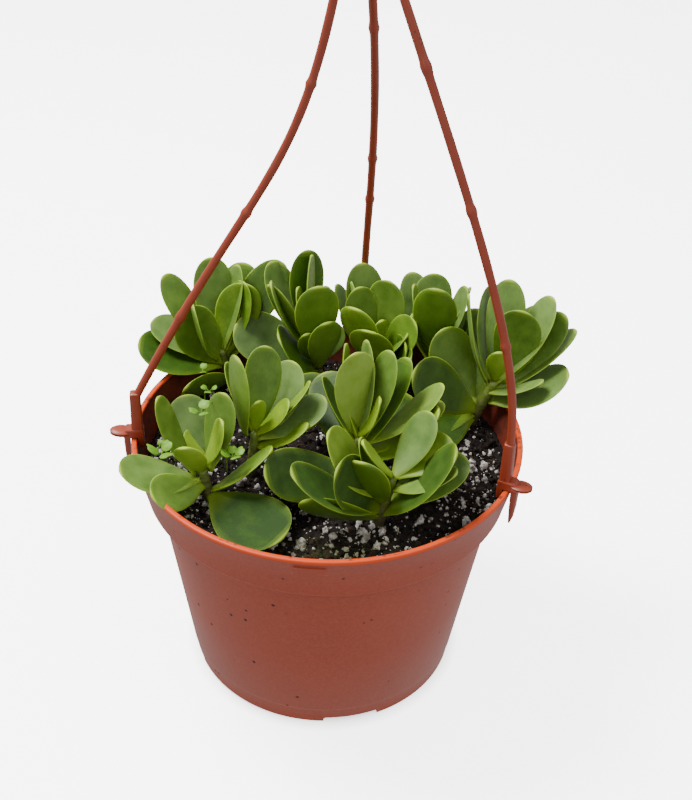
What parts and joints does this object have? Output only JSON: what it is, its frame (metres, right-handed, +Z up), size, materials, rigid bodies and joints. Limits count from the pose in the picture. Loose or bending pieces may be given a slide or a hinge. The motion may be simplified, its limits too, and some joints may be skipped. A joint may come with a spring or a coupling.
{
  "type": "potted trailing jade",
  "caption": "Trailing jade succulent with thick spoon-shaped leaves, growing in soil in a round plastic nursery pot that hangs from a hooked wire hanger.",
  "frame": {"origin": "the point inside the hook that bears on the rail it hangs from", "axes": "+Z up along the hang line; the pot, the plant and the hanger's wires are below the origin; +Y towards the back wire, +X towards the right-hand wire"},
  "size_m": [0.1806, 0.1582, 0.3505],
  "materials": {
    "pot_plastic": "semi-matt terracotta red injection-moulded plastic, dusty with soil splashes, brighter worn lip",
    "hanger_plastic": "satin terracotta red moulded plastic wire",
    "soil": "damp dark peat with white perlite grains and a thin green algae film",
    "stem": "green fleshy stem, browner towards the soil",
    "leaf": "fleshy green leaf with a waxy bloom and a pale yellow-green margin"
  },
  "bodies": {
    "root": {"nursery_pot": "pot_plastic", "potting_soil": "soil", "wire_hanger": "hanger_plastic", "back_left_stem": "stem", "back_left_leaf_1": "leaf", "back_left_leaf_2": "leaf", "back_left_leaf_3": "leaf", "back_left_leaf_4": "leaf", "back_left_leaf_5": "leaf", "back_left_leaf_6": "leaf", "back_left_leaf_7": "leaf", "back_middle_stem": "stem", "back_middle_leaf_1": "leaf", "back_middle_leaf_2": "leaf", "back_middle_leaf_3": "leaf", "back_middle_leaf_4": "leaf", "back_middle_leaf_5": "leaf", "back_middle_leaf_6": "leaf", "back_right_middle_stem": "stem", "back_right_middle_leaf_1": "leaf", "back_right_middle_leaf_2": "leaf", "back_right_middle_leaf_3": "leaf", "back_right_middle_leaf_4": "leaf", "back_right_middle_leaf_5": "leaf", "back_right_stem": "stem", "back_right_leaf_1": "leaf", "back_right_leaf_2": "leaf", "back_right_leaf_3": "leaf", "back_right_leaf_4": "leaf", "right_stem": "stem", "right_leaf_1": "leaf", "right_leaf_2": "leaf", "right_leaf_3": "leaf", "right_leaf_4": "leaf", "right_leaf_5": "leaf", "right_leaf_6": "leaf", "right_leaf_7": "leaf", "right_leaf_8": "leaf", "front_left_stem": "stem", "front_left_leaf_1": "leaf", "front_left_leaf_2": "leaf", "front_left_leaf_3": "leaf", "front_left_leaf_4": "leaf", "front_left_leaf_5": "leaf", "front_left_leaf_6": "leaf", "front_left_middle_stem": "stem", "front_left_middle_leaf_1": "leaf", "front_left_middle_leaf_2": "leaf", "front_left_middle_leaf_3": "leaf", "front_left_middle_leaf_4": "leaf", "front_middle_stem": "stem", "front_middle_leaf_1": "leaf", "front_middle_leaf_2": "leaf", "front_middle_leaf_3": "leaf", "front_middle_leaf_4": "leaf", "front_right_stem": "stem", "front_right_leaf_1": "leaf", "front_right_leaf_2": "leaf", "front_right_leaf_3": "leaf", "front_right_leaf_4": "leaf"}
  },
  "joints": []
}
